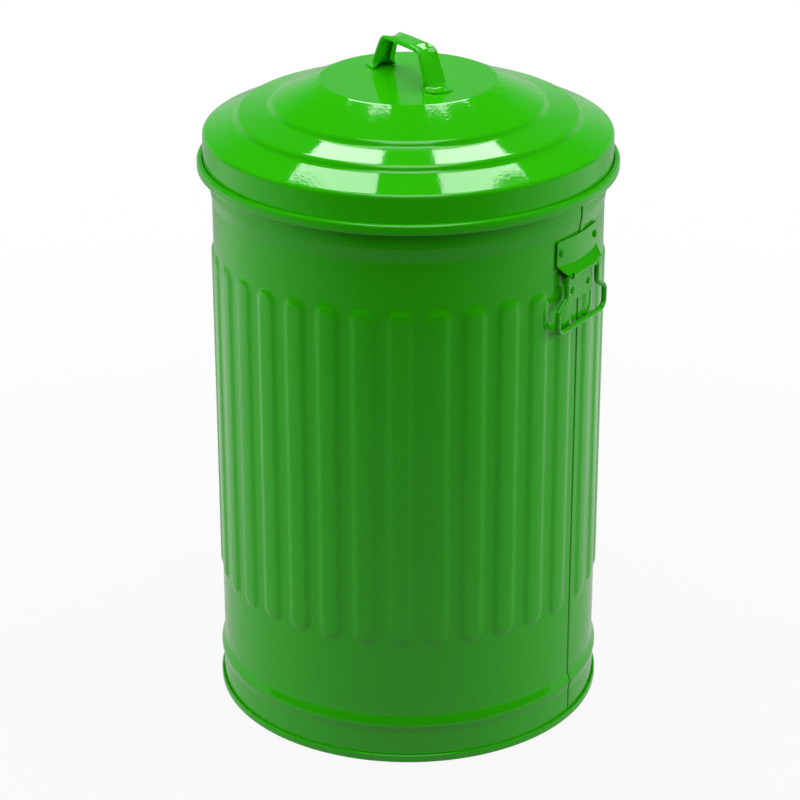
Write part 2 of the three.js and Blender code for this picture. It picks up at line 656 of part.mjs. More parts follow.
// Hood: a sloping plate that runs from the flange out and down to a narrower lip.
function hood(lipRadius, lipHeight) {
  const slope = Math.SQRT1_2;
  const crease = (lipRadius - FLANGE_INSIDE - FITTING_SHEET) / slope;
  const edgeRadius = Math.sqrt(FLANGE_INSIDE ** 2 - (FLANGE_WIDTH / 2) ** 2);
  const back = (lipRadius - edgeRadius) / slope;
  const outline = [
    [-HOOD_LIP_WIDTH / 2, 0],
    [HOOD_LIP_WIDTH / 2, 0],
    [FLANGE_WIDTH / 2, crease],
    [FLANGE_WIDTH / 2, back],
    [-FLANGE_WIDTH / 2, back],
    [-FLANGE_WIDTH / 2, crease],
  ];
  const sloping = facingX(plate(outline, -FITTING_SHEET, 0)).rotateY(-Math.PI / 4);
  return solidOf(sloping.translate(lipRadius, 0, lipHeight)).subtract(roundBar(FLANGE_INSIDE));
}

// Knuckle: the sheet wraps round the bail's straight top and runs back to the tongue.
function knuckle() {
  const [from, to] = [KNUCKLE_FROM, KNUCKLE_TO].map(THREE.MathUtils.degToRad);
  const wrap = ringSector(KNUCKLE_INSIDE, KNUCKLE_OUTSIDE, from, to, 9);
  const section = wrap.map(([x, y]) => [x + PIVOT_RADIUS, y + PIVOT_HEIGHT]);
  return solidOf(alongY(section, TONGUE_WIDTH)).subtract(roundBar(TONGUE_INSIDE));
}

function bracket() {
  const reach = KNUCKLE_OUTSIDE * Math.SQRT1_2;
  const [lipRadius, lipHeight] = [PIVOT_RADIUS + reach, PIVOT_HEIGHT + reach];
  const creaseHeight = lipHeight + lipRadius - FLANGE_INSIDE - FITTING_SHEET;
  const pieces = [
    curvedPlate(FLANGE_INSIDE, FLANGE_WIDTH, creaseHeight, PIVOT_HEIGHT + FLANGE_RISE),
    hood(lipRadius, lipHeight),
    knuckle(),
    curvedPlate(TONGUE_INSIDE, TONGUE_WIDTH, PIVOT_HEIGHT - TONGUE_DROP, PIVOT_HEIGHT - KNUCKLE_INSIDE),
  ];
  return geometryOf(without(joined(pieces), rivetHoles(0)));
}

// A wire's middle line through points of one plane, with one step of the sweep at each point.
class BentWire extends THREE.Curve {
  constructor(points) {
    super();
    this.points = points;
  }

  getPoint(share, target = new THREE.Vector3()) {
    const place = THREE.MathUtils.clamp(share, 0, 1) * (this.points.length - 1);
    const index = Math.min(Math.floor(place), this.points.length - 2);
    return target.lerpVectors(this.points[index], this.points[index + 1], place - index);
  }

  getPointAt(share, target) {
    return this.getPoint(share, target);
  }

  getTangentAt(share, target) {
    return this.getTangent(share, target);
  }
}

// Bail about its own pivot, hanging straight down: legs, outward kinks, corners and grip bar.
function bail() {
  const [shoulder, grip] = [BAIL_SHOULDER_WIDTH / 2, BAIL_GRIP_WIDTH / 2];
  const half = [
    [BAIL_GAP / 2, 0],
    [shoulder, 0, BAIL_WIRE],
    [shoulder, -BAIL_KINK_DROP, BAIL_CORNER],
    [grip, -BAIL_KINK_DROP - BAIL_KINK_HEIGHT, BAIL_CORNER],
    [grip, -BAIL_DROP, BAIL_CORNER],
  ];
  const mirrored = half.map(([across, ...rest]) => [-across, ...rest]).reverse();
  const points = roundedLine([...half, ...mirrored]).map(([across, z]) => new THREE.Vector3(0, across, z));
  const path = new BentWire(points);
  const angles = Array.from({ length: BAIL_FACETS }, (_, k) => (TURN * k) / BAIL_FACETS);
  const radius = BAIL_WIRE / 2;
  const section = new THREE.Shape(
    angles.map((a) => new THREE.Vector2(radius * Math.cos(a), radius * Math.sin(a))),
  );
  return new THREE.ExtrudeGeometry(section, { steps: points.length - 1, extrudePath: path });
}

// ---------------------------------------------------------------- assembly
const PAINT = { color: '#2f9c1c', roughness: 0.22, metalness: 0.0 };

function addPiece(group, name, geometry, finish = {}) {
  const mesh = new THREE.Mesh(geometry, new THREE.MeshStandardMaterial({ ...PAINT, ...finish }));
  mesh.name = name;
  group.add(mesh);
  return mesh;
}

function sideFittings(side, turn) {
  const fittings = new THREE.Group();
  fittings.rotation.z = turn;
  addPiece(fittings, `${side}_handle_bracket`, bracket());
  addPiece(fittings, `${side}_bail_handle`, bail()).position.set(PIVOT_RADIUS, 0, PIVOT_HEIGHT);
  rivetPlaces().forEach(({ angle, height, seat }, index) => {
    const piece = addPiece(fittings, `${side}_bracket_rivet_${index + 1}`, rivet(seat - TAIL_SEAT));
    piece.position.set(seat * Math.cos(angle), seat * Math.sin(angle), height);
    piece.rotation.z = angle;
  });
  return fittings;
}

function lid() {
  const group = new THREE.Group();
  group.position.z = discHeight();
  addPiece(group, 'lid_shell', lidShell());
  addPiece(group, 'lid_handle', lidHandle()).rotation.z = HANDLE_TURN;
  return group;
}

const bin = new THREE.Group();
addPiece(bin, 'can_wall', canWall());
addPiece(bin, 'base_plate', basePlate());
addPiece(bin, 'rim_wire', rimWire(), { color: '#8f9496', roughness: 0.45, metalness: 0.9 });
bin.add(sideFittings('right', 0));
bin.add(sideFittings('left', Math.PI));
bin.add(lid());

export default bin;
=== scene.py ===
import math

import bmesh
import bpy
import numpy as np
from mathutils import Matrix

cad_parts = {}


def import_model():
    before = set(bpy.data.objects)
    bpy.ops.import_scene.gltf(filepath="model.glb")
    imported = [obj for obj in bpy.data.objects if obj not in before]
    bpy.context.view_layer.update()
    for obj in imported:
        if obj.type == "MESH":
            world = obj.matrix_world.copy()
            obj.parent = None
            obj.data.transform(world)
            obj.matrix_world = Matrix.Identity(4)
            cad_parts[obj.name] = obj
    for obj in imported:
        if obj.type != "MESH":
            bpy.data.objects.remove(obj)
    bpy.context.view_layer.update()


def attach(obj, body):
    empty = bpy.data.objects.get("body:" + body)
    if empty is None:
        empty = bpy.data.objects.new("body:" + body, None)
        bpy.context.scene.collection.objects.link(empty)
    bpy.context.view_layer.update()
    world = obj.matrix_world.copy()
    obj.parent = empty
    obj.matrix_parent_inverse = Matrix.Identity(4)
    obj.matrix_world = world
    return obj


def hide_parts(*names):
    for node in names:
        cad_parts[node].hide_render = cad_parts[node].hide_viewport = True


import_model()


MM = 0.001

# ------------------------------------------------------------------ sizes in millimetres
SHEET = 1.0
FITTING_SHEET = 1.2
CLEARANCE = 0.3
WIRE_PLAY = 0.1  # what a curl round a wire has beyond the clearance

# Can wall
WALL_RADIUS = 181.8
CAN_HEIGHT = 565.7
FOOT_STEP = 1.5
SWAGE_BOTTOM = 30.5
SWAGE_WIDTH = 18.0
SWAGE_DEPTH = 3.6
SWAGE_CREST = 0.47  # share of the bead's width below its crest
SWAGE_BENDS = (6.0, 7.0, 5.0)
FLARE_BOTTOM = 502.0
FLARE_HEIGHT = 12.5
FLARE_BEND = 14.0
COLLAR_STEP = 2.0
COLLAR_TOP = 551.0
COLLAR_BEND = 5.0
NECK_HEIGHT = 7.5
NECK_BEND = 3.0
PANEL_TOP = 10.0
SEAM_RUN_OUT = 3.0

# Ribs
RIB_COUNT = 34
SEAM_PITCHES = 1.3
RIB_BOTTOM = 121.0
RIB_TOP = 459.0
RIB_DEPTH = 1.8
RIB_CREST_HALF = 5.6
RIB_FOOT_HALF = 12.9
RIB_MARGIN = 1.0  # plain wall kept above and below the ribs' rows
RIB_COLUMNS = (0, 5.4, 7.4, 9.3, 11.2, 13.1)  # from a rib's middle line
RIB_END_ROWS = 20
RIB_INSIDE_ROWS = 9

# Lock seam
STRIP_WIDTH = 6.0
STRIP_DEPTH = 0.8
STRIP_RISE = (-0.35, 0.3)  # where the strip rises, from the crevice's edge
STRIP_EDGE = 1.0
CREVICE_WIDTH = 1.4
CREVICE_DEPTH = 0.7
CREVICE_FLOOR = 0.3  # share of the crevice's width that is flat
FOLD_DEPTH = 1.0
FOLD_EDGE = 0.6
SEAM_COLUMNS = (  # round the wall from the crevice's middle
    *(-7.5, -4.5, -2, -1.3, -0.9, -0.7, -0.55, -0.4, -0.25, 0, 0.25, 0.4, 0.55, 0.7, 0.9, 1.2, 1.7),
    *(3, 4.8, 6.2, 6.6, 6.9, 7.2, 7.6, 8.2),
)

# Rim wire and base
WIRE_RADIUS = 2.0
BASE_DEPTH = 9.0
CHIME_HEIGHT = 7.5
CHIME_LIP = 2.2
CHIME_BEND = 1.6
PAN_BEND = 1.5
FOOT_FLANGE = 1.2

# Lid
TERRACE_WIDTHS = (44.0, 30.4, 28.9)
TERRACE_DROPS = (19.8, 5.7, 10.9)
RISER_WIDTH = 1.5
RISER_DROPS = (4.7, 5.3)
RISER_BENDS = (5.2, 4.0)
DISC_BEND = 5.0
SHOULDER_WIDTH = 1.0
SHOULDER_SLOPE = 2.2  # the shoulder's fall for its width
SHOULDER_BEND = 4.0
SKIRT_DROP = 35.2
SKIRT_FLARE = 0.4
LID_PLAY = 0.4
ROLL_HEIGHT = 10.2
ROLL_WIDTH = 5.5
ROLL_RADIUS = 3.0
ROLL_END = 0.8

# Lid handle
HANDLE_ANGLE = math.radians(-22.5)
HANDLE_HEIGHT = 36.1
HANDLE_TOP_LENGTH = 61.0
HANDLE_FOOT_SPAN = 91.0
HANDLE_TAB_SPAN = 116.0
HANDLE_WIDTH = 20.0
HANDLE_FOOT_WIDTH = 25.0
HANDLE_EDGE = 4.6
HANDLE_EDGE_ROUND = 2.2
HANDLE_HEM = 6.5
HANDLE_DENT = 3.4
DENT_REACH = 17.0
HEM_FADE = (1.0, 7.0)  # above the feet, where the hems begin and are full
STRAP_STEP = 1.2
STRAP_HOLD = 1.5
STRAP_FLAT = (0.2, 0.5, 0.8)  # points across the strap's flat, as shares of its half width
LEAST_STRAIGHT = 0.05
FOOT_EDGE = 0.4
HANDLE_BEND = 9.0
FOOT_BEND = 8.0
FOOT_RISE = 2.2
FOOT_ROUND = 50.0
TAB_WIDTH = 17.0
TAB_BOW = 16.0
BOW_START = 0.8  # share of the strap's fall after which its feet take the tab's bow
TAB_HOOK = 6.0
HOOK_SHARE = 0.7
SLOT_OVERRUN = 2.5
SLOT_DEPTH = 1.0  # the slots are cut this far beyond both faces of the lid

# Side brackets and bails
PIVOT_OUT = 4.7
PIVOT_HEIGHT = 466.2
FLANGE_HALF = 35.5
FLANGE_TOP = 500.0
LIP_HALF = 30.0
TONGUE_HALF = 20.8
TONGUE_BOTTOM = 438.5
PLATE_CORNER = 2.5
CREASE_BEND = 2.0
TONGUE_BEND = 1.0
TONGUE_COLUMNS = (0, 5, 10, 14)
HOOD_COLUMNS = (24, 28)
CUT_EDGE = 0.35
FLANGE_RIVETS = (59.0, 489.0)  # distance between the two rivets, and their height
TONGUE_RIVETS = (28.8, 449.0)
SHANK_RADIUS = 2.0
HEAD_RADIUS = 3.4
HEAD_HEIGHT = 2.2
TAIL_RADIUS = 3.2
TAIL_HEIGHT = 1.2
TAIL_FLAT = 0.8  # share of the tail's radius that is flat
TAIL_SEAT = 180.1
BAIL_RADIUS = 2.5
BAIL_END = 0.5
BAIL_SHOULDER = 27.0
BAIL_SHOULDER_BEND = 5.0
BAIL_GRIP = 42.0
BAIL_KINK_DROP = 21.0
BAIL_KINK_HEIGHT = 9.5
BAIL_DROP = 51.2
BAIL_CORNER = 8.0
BAIL_KINK_BEND = 6.0

# Sizes that follow
RIB_PITCH = 2 * math.pi / (RIB_COUNT - 1 + SEAM_PITCHES)
FOOT_RADIUS = WALL_RADIUS + FOOT_STEP
COLLAR_RADIUS = WALL_RADIUS + COLLAR_STEP
CURL_INSIDE = WIRE_RADIUS + CLEARANCE
CURL_OUTSIDE = CURL_INSIDE + SHEET
RIM_HEIGHT = CAN_HEIGHT - CURL_OUTSIDE
RIM_RADIUS = WALL_RADIUS + CURL_INSIDE + WIRE_PLAY
SKIRT_TOP_RADIUS = RIM_RADIUS + CURL_OUTSIDE + LID_PLAY + SHEET
SKIRT_RADIUS = SKIRT_TOP_RADIUS + SKIRT_FLARE
SHOULDER_RADIUS = SKIRT_TOP_RADIUS - SHOULDER_WIDTH
PIVOT_RADIUS = WALL_RADIUS + PIVOT_OUT
FLANGE_INSIDE = WALL_RADIUS + STRIP_DEPTH + CLEARANCE
TONGUE_INSIDE = WALL_RADIUS + RIB_DEPTH + CLEARANCE
SEAM_BOTTOM = CHIME_HEIGHT + 0.5
KNUCKLE_OUTSIDE = BAIL_RADIUS + CLEARANCE + WIRE_PLAY + FITTING_SHEET

# Meshes
ARC_STEP = math.radians(12)
SIDE_SHARE = 0.499  # how much of a side a round corner may take
LEAST_TURN = 0.005
SHARP = math.radians(40)
EASED_FROM = math.radians(50)
HOLD = 0.5  # a row this near each end of a straight keeps the straight's shading flat
WELD = 1e-7
ROUND_COLUMNS = 256
LID_COLUMNS = 288
RIVET_COLUMNS = 32
RIM_WIRE_SIDES = 16
BAIL_SIDES = 24
HEM_POINTS = 7
TAB_COLUMNS = 17


# ------------------------------------------------------------------ camera, light and floor
PIXELS = 800
FOCAL_PIXELS = 2698.0
SENSOR = 36.0
AXIS_PIXEL = 408.3  # the can's axis in the photograph, from the left
VIEW_AZIMUTH = math.radians(33.0)
VIEW_DROP = math.radians(24.13)
VIEW_DISTANCE = 2.3616
VIEW_HEIGHT = 1.3486
VIEW_REACH = 50.0

# Light levels, where 1 shows as white, and the studio's edges in metres from the can
STRIPS = 6.3
STRIP_HEIGHT = 1.8
STRIP_CORNERS = ((0.15, 0.462), (0.30, 0.537), (0.56, 0.865), (0.30, 1.80), (0.068, 1.70))
OVERHEAD = 3.2
OVERHEAD_PLACE = (0, -0.3, 2.4)
OVERHEAD_SIZE = (1.4, 1.2)
FRONT = 2.6
FRONT_PLACE = (0, -2.0, 3.2)
FRONT_SIZE = (2.0, 2.0)
FRONT_TILT = math.radians(37)
FLOOR_REACH = 6.0
# painted shade on the floor: its levels behind the can and in front, where it falls off, and its darker front
# end
PAINTED_FLOOR_LEVELS = (0.95, 0.02)
FLOOR_FADE = (-1.0, 1.45)
FLOOR_END = 0.45
FLOOR_END_FADE = (-1.3, -0.5)
WHITE_SHARE = 0.9
WHITE_FADE = (0.4, 1.6)
# The world's levels, and the directions between which each part of it ends, from -1 to 1
DARK_ROOM = 0.02
BACKDROP = 0.5
BACKDROP_SIDE = (-0.8, -0.35)
BACKDROP_TOP = (0.0, 0.6)
SIDE_PANELS = 3.9
SIDE_PANEL_EDGE = (0.75, 0.95)
SIDE_PANEL_TOP = (0.5, 0.8)

# Finishes: sizes and depths of their patterns in millimetres
PEEL_SIZE = 3.125
PEEL_DEPTH = 0.022
WAVE_SIZE = 62.5
WAVE_DEPTH = 0.3
SPECK_SIZE = 1.1111
SPECK_TONES = (0.92, 1.06)
CLOUD_SIZE = 3.3333


def link(thing):
    """Puts an object into the scene."""
    bpy.context.scene.collection.objects.link(thing)
    return thing


def from_view(right, behind, height):
    """Point so far to the right of the can and behind it, as seen from the camera."""
    cos, sin = math.cos(VIEW_AZIMUTH), math.sin(VIEW_AZIMUTH)
    return right * cos - behind * sin, right * sin + behind * cos, height


def camera():
    """Camera that sees the can as the photograph does."""
    data = bpy.data.cameras.new("view")
    data.sensor_width = SENSOR
    data.lens = SENSOR * FOCAL_PIXELS / PIXELS
    data.shift_x = (PIXELS / 2 - AXIS_PIXEL) / PIXELS
    data.clip_end = VIEW_REACH
    view = link(bpy.data.objects.new("view", data))
    view.location = from_view(0, -VIEW_DISTANCE, VIEW_HEIGHT)
    view.rotation_euler = (math.pi / 2 - VIEW_DROP, 0, VIEW_AZIMUTH)
    bpy.context.scene.camera = view
    bpy.context.scene.view_settings.view_transform = "Standard"


def softbox(name, place, size, radiance, tilt=0.0):
    """Rectangular lamp facing down, or tilted away from the camera."""
    width, length = size
    data = bpy.data.lights.new(name, "AREA")
    data.shape = "RECTANGLE"
    data.size = width
    data.size_y = length
    data.energy = radiance * math.pi * width * length
    lamp = link(bpy.data.objects.new(name, data))
    lamp.location = from_view(*place)
    lamp.rotation_euler = (tilt, 0, VIEW_AZIMUTH)


def lamps():
    """Two strips behind the can show in the lid's slopes. Lamps above and in front light the paint.

    Each strip's near edge follows the line at which the lid's slopes stop reflecting it.
    """
    material = bpy.data.materials.new("lit_diffuser")
    tree = new_tree(material)
    glow = node(tree, "ShaderNodeEmission", Color=(1, 1, 1, 1), Strength=STRIPS)
    node(tree, "ShaderNodeOutputMaterial", Surface=glow.outputs[0])
    for side in (-1, 1):
        corners = [from_view(side * right, behind, STRIP_HEIGHT) for right, behind in STRIP_CORNERS]
        mesh = bpy.data.meshes.new("strip")
        mesh.from_pydata(corners, [], [tuple(range(len(corners)))])
        mesh.materials.append(material)
        strip = link(bpy.data.objects.new(f"strip_{side}", mesh))
        strip.visible_camera = False
    softbox("overhead", OVERHEAD_PLACE, OVERHEAD_SIZE, OVERHEAD)
    softbox("front", FRONT_PLACE, FRONT_SIZE, FRONT, FRONT_TILT)


def node(tree, kind, settings=None, **inputs):
    """Adds a node with its settings. Each input is a value or the socket to link, by name or as i0, i1..."""
    made = tree.nodes.new(kind)
    for key, value in (settings or {}).items():
        setattr(made, key, value)
    for key, value in inputs.items():
        by_number = key[0] == "i" and key[1:].isdigit()
        socket = made.inputs[int(key[1:]) if by_number else key.replace("_", " ")]
        if isinstance(value, bpy.types.NodeSocket):
            tree.links.new(value, socket)
        else:
            socket.default_value = value
    return made


def linear(hex_colour):
    """sRGB hex to linear RGBA by the standard sRGB curve."""
    channels = [int(hex_colour[i:i + 2], 16) / 255 for i in (1, 3, 5)]
    return tuple(c / 12.92 if c <= 0.04045 else ((c + 0.055) / 1.055) ** 2.4 for c in channels) + (1.0,)


def new_tree(holder):
    """Empty node tree of a material or world."""
    holder.use_nodes = True
    holder.node_tree.nodes.clear()
    return holder.node_tree


TO_CAMERA = (math.sin(VIEW_AZIMUTH), -math.cos(VIEW_AZIMUTH), 0)
TO_RIGHT = (math.cos(VIEW_AZIMUTH), math.sin(VIEW_AZIMUTH), 0)


def component(tree, vector, way):
    """Component of a vector along a fixed direction."""
    product = node(tree, "ShaderNodeVectorMath", {"operation": "DOT_PRODUCT"}, i0=vector, i1=way)
    return product.outputs["Value"]


def ramp(tree, value, span, low=0.0, high=1.0, kind="SMOOTHSTEP"):
    """Change from low to high while the value goes from the span's start to its end."""
    ends = dict(From_Min=span[0], From_Max=span[1], To_Min=low, To_Max=high)
    return node(tree, "ShaderNodeMapRange", {"interpolation_type": kind}, Value=value, **ends).outputs[0]


def maths(tree, operation, *values):
    """Result of a sum, product or other operation on values or sockets."""
    inputs = {f"i{k}": value for k, value in enumerate(values)}
    return node(tree, "ShaderNodeMath", {"operation": operation}, **inputs).outputs[0]


def scaled(tree, colour, factor):
    """A colour times a factor."""
    return node(tree, "ShaderNodeVectorMath", {"operation": "SCALE"}, i0=colour[:3], Scale=factor).outputs[0]


def world():
    """White to the camera. The object sees the studio: a backdrop behind it, and a dark ceiling and front.

    Panels at both sides light it too, but don't show in its reflections.
    """
    studio = bpy.data.worlds.new("studio")
    bpy.context.scene.world = studio
    tree = new_tree(studio)
    way = node(tree, "ShaderNodeTexCoord").outputs["Generated"]
    up = node(tree, "ShaderNodeSeparateXYZ", i0=way).outputs[2]
    behind = ramp(tree, component(tree, way, TO_CAMERA), BACKDROP_SIDE, 1.0, 0.0)
    backdrop = maths(tree, "MULTIPLY", behind, ramp(tree, up, BACKDROP_TOP, BACKDROP, 0.0))
    beside = ramp(tree, maths(tree, "ABSOLUTE", component(tree, way, TO_RIGHT)), SIDE_PANEL_EDGE)
    panels = maths(tree, "MULTIPLY", beside, ramp(tree, up, SIDE_PANEL_TOP, SIDE_PANELS, 0.0))
    path = node(tree, "ShaderNodeLightPath").outputs
    panels = maths(tree, "MULTIPLY", panels, maths(tree, "SUBTRACT", 1.0, path["Is Glossy Ray"]))
    room = maths(tree, "ADD", maths(tree, "ADD", backdrop, panels), DARK_ROOM)
    # the backdrop also shows in reflections and through glass
    shown = maths(tree, "MAXIMUM", path["Is Glossy Ray"], path["Is Transmission Ray"])
    shown = maths(tree, "MULTIPLY", shown, backdrop)
    level = maths(tree, "MAXIMUM", maths(tree, "MAXIMUM", room, shown), path["Is Camera Ray"])
    sky = node(tree, "ShaderNodeBackground", Color=(1, 1, 1, 1), Strength=level)
    node(tree, "ShaderNodeOutputWorld", Surface=sky.outputs[0])


def floor():
    """Pale matt floor, white to the camera apart from the can's shadow.

    Reflections see it bright behind the can and ever darker towards the camera, as in a studio lit
    from behind: this is painted shade, in the paper's colour and in its glow.
    """
    material = bpy.data.materials.new("white_paper_with_painted_shade")
    tree = new_tree(material)
    place = node(tree, "ShaderNodeTexCoord").outputs["Object"]
    forward = component(tree, place, TO_CAMERA)
    # painted shade: the paper's colour and glow fall off towards the camera, and more at the floor's front
    # end
    painted_falloff = ramp(tree, forward, FLOOR_FADE, *PAINTED_FLOOR_LEVELS, kind="LINEAR")
    painted_falloff = maths(tree, "MULTIPLY", painted_falloff, ramp(tree, forward, FLOOR_END_FADE, FLOOR_END, 1.0))
    path = node(tree, "ShaderNodeLightPath").outputs
    level = maths(tree, "MAXIMUM", painted_falloff, path["Is Camera Ray"])
    paper = node(tree, "ShaderNodeBsdfDiffuse", Color=scaled(tree, linear("#d2d2d0"), level))
    white = node(tree, "ShaderNodeEmission", Color=(1, 1, 1, 1), Strength=level)
    shown = maths(tree, "MAXIMUM", path["Is Camera Ray"], path["Is Glossy Ray"])
    shown = maths(tree, "MAXIMUM", shown, path["Is Transmission Ray"])
    distance = node(tree, "ShaderNodeVectorMath", {"operation": "LENGTH"}, i0=place).outputs["Value"]
    share = maths(tree, "MULTIPLY", shown, ramp(tree, distance, WHITE_FADE, WHITE_SHARE, 1.0))
    mix = node(tree, "ShaderNodeMixShader", i0=share, i1=paper.outputs[0], i2=white.outputs[0])
    node(tree, "ShaderNodeOutputMaterial", Surface=mix.outputs[0])
    mesh = bpy.data.meshes.new("floor")
    corners = [(x * FLOOR_REACH, y * FLOOR_REACH, 0) for x, y in ((-1, -1), (1, -1), (1, 1), (-1, 1))]
    mesh.from_pydata(corners, [], [(0, 1, 2, 3)])
    mesh.materials.append(material)
    link(bpy.data.objects.new("floor", mesh))


# ------------------------------------------------------------------ finishes
def clouds(tree, coords, size, detail):
    """Noise whose clouds are so many millimetres across."""
    return node(tree, "ShaderNodeTexNoise", Vector=coords, Scale=1 / (size * MM), Detail=detail).outputs[0]


def bumps(tree, height, depth, **under):
    """Normal of a surface that a pattern moves by so many millimetres, over another one's normal."""
    bump = node(tree, "ShaderNodeBump", Strength=1.0, Distance=depth * MM, Height=height, **under)
    return bump.outputs[0]


def green_paint():
    """Gloss enamel over pressed steel: slight orange peel, a faint waviness of the sheet, fine specks."""
    material = bpy.data.materials.new("green_gloss_enamel")
    tree = new_tree(material)
    coords = node(tree, "ShaderNodeTexCoord").outputs["Object"]
    # the peel blurs what the paint mirrors, and the sheet's own unevenness bends it
    peel = clouds(tree, coords, PEEL_SIZE, 1.0)
    wave = clouds(tree, coords, WAVE_SIZE, 0.0)
    normal = bumps(tree, peel, PEEL_DEPTH, Normal=bumps(tree, wave, WAVE_DEPTH))
    # specks and slightly uneven pigment
    tone = ramp(tree, clouds(tree, coords, SPECK_SIZE, 2.0), (0.3, 0.7), *SPECK_TONES, kind="LINEAR")
    colour = scaled(tree, linear("#2cb804"), tone)
    shader = node(tree, "ShaderNodeBsdfPrincipled", Base_Color=colour, Roughness=0.045, Normal=normal)
    node(tree, "ShaderNodeOutputMaterial", Surface=shader.outputs[0])
    return material


def zinc_wire():
    """Drawn steel wire with a thin zinc coat, out of sight in the rolled rim."""
    material = bpy.data.materials.new("zinc_coated_wire")
    tree = new_tree(material)
    coords = node(tree, "ShaderNodeTexCoord").outputs["Object"]
    rough = ramp(tree, clouds(tree, coords, CLOUD_SIZE, 2.0), (0.0, 1.0), 0.35, 0.55, kind="LINEAR")
    shader = node(
        tree, "ShaderNodeBsdfPrincipled", Base_Color=linear("#a9adb0"), Metallic=1.0, Roughness=rough
    )
    node(tree, "ShaderNodeOutputMaterial", Surface=shader.outputs[0])
    return material


# ------------------------------------------------------------------ outlines
def corner_arc(before, corner, after, radius):
    """Arc that rounds a corner: it starts on each side at radius / tan(half the corner's angle)."""
    before, corner, after = (np.array(p[:2], float) for p in (before, corner, after))
    into, out = before - corner, after - corner
    room = SIDE_SHARE * min(np.linalg.norm(into), np.linalg.norm(out))
    into, out = into / np.linalg.norm(into), out / np.linalg.norm(out)
    half = math.acos(np.clip(into @ out, -1, 1)) / 2
    turn = math.pi - 2 * half
    if radius <= 0 or turn < LEAST_TURN:
        return corner[None]
    reach = min(radius / math.tan(half), room)
    radius = reach * math.tan(half)
    centre = corner + (into + out) / np.linalg.norm(into + out) * radius / math.sin(half)
    spin = -np.sign(into[0] * out[1] - into[1] * out[0])
    angles = spin * np.linspace(0, turn, max(3, int(turn / ARC_STEP) + 2))
    arm = corner + into * reach - centre
    cos, sin = np.cos(angles), np.sin(angles)
    return centre + np.stack([arm[0] * cos - arm[1] * sin, arm[0] * sin + arm[1] * cos], axis=-1)


def rounded(corners, hold=HOLD):
    """Line through (x, y, radius) corners with each corner rounded, and held straight between them."""
    parts = [np.array([corners[0][:2]], float)]
    for before, corner, after in zip(corners, corners[1:], corners[2:]):
        parts.append(corner_arc(before, corner, after, corner[2] if len(corner) > 2 else 0))
    parts.append(np.array([corners[-1][:2]], float))
    points = [parts[0][0]]
    for part in parts[1:]:
        gap = np.linalg.norm(part[0] - points[-1])
        if gap > 4 * hold:
            along = (part[0] - points[-1]) / gap
            points += [points[-1] + along * hold, part[0] - along * hold]
        points += list(part)
    return np.array(points)


def to_the_left(corners, distance):
    """The same corners moved to the line's left: each goes along the mitre of its two sides."""
    xy = np.array([c[:2] for c in corners], float)
    radii = [c[2] if len(c) > 2 else 0 for c in corners]
    runs = np.diff(xy, axis=0)
    runs /= np.linalg.norm(runs, axis=1)[:, None]
    normals = np.stack([-runs[:, 1], runs[:, 0]], axis=-1)
    before, after = np.vstack([normals[:1], normals]), np.vstack([normals, normals[-1:]])
    mitre = before + after
    mitre /= np.linalg.norm(mitre, axis=1)[:, None]
    moved = xy + mitre * (distance / (mitre * before).sum(axis=1))[:, None]
    bends = before[:, 0] * after[:, 1] - before[:, 1] * after[:, 0]
    radii = [max(r - np.sign(b) * distance, 0) if r else 0 for r, b in zip(radii, bends)]
    return [(x, y, radius) for (x, y), radius in zip(moved, radii)]


def sheet_section(corners, thickness):
    """Closed section of bent sheet: the given face, then the other face back to the start."""
    return np.vstack([rounded(corners), rounded(to_the_left(corners, thickness))[::-1]])


def circle(centre, radius, angles):
    """Points at the given angles on a circle."""
    return np.array(centre) + radius * np.stack([np.cos(angles), np.sin(angles)], axis=-1)


def round_angles(count):
    """So many angles, evenly spaced round a circle."""
    return np.linspace(0, 2 * math.pi, count, endpoint=False)


def evenly(line, step):
    """The same line with points added so that none are further apart than the step."""
    parts = [line[:1]]
    for start, end in zip(line, line[1:]):
        shares = np.linspace(0, 1, max(int(np.linalg.norm(end - start) / step), 1) + 1)[1:, None]
        parts.append(start + shares * (end - start))
    return np.vstack(parts)


def smoothstep(low, high, value):
    """Smooth rise from 0 at low to 1 at high."""
    share = np.clip((value - low) / (high - low), 0, 1)
    return share * share * (3 - 2 * share)


# ------------------------------------------------------------------ meshes
def smooth(mesh):
    """Shades a mesh smooth, apart from its sharp edges."""
    mesh.polygons.foreach_set("use_smooth", np.ones(len(mesh.polygons), bool))
    mesh.set_sharp_from_angle(angle=SHARP)
    mesh.update()
    return mesh


def mesh_of(name, points, faces):
    """Smooth mesh from points in millimetres: doubles welded, loose points left out, faces outward."""
    mesh = bpy.data.meshes.new(name)
    mesh.from_pydata(np.asarray(points, float).reshape(-1, 3) * MM, [], faces)
    work = bmesh.new()
    work.from_mesh(mesh)
    bmesh.ops.remove_doubles(work, verts=work.verts, dist=WELD)
    bmesh.ops.delete(work, geom=[vertex for vertex in work.verts if not vertex.link_faces], context="VERTS")
    if work.calc_volume(signed=True) < 0:
        bmesh.ops.reverse_faces(work, faces=work.faces)
    work.to_mesh(mesh)
    work.free()
    return smooth(mesh)


def corners_of(index):
    """The four corners of each cell of a grid of point numbers."""
    return np.stack([index[:-1, :-1], index[:-1, 1:], index[1:, 1:], index[1:, :-1]], axis=-1)


def grid_faces(rows, columns, close_rows=True, close_columns=True):
    """Quads between neighbours of a grid of points, wrapping round where it closes."""
    index = np.arange(rows * columns).reshape(rows, columns)
    if close_rows:
        index = np.vstack([index, index[:1]])
    if close_columns:
        index = np.hstack([index, index[:, :1]])
    return corners_of(index).reshape(-1, 4).tolist()


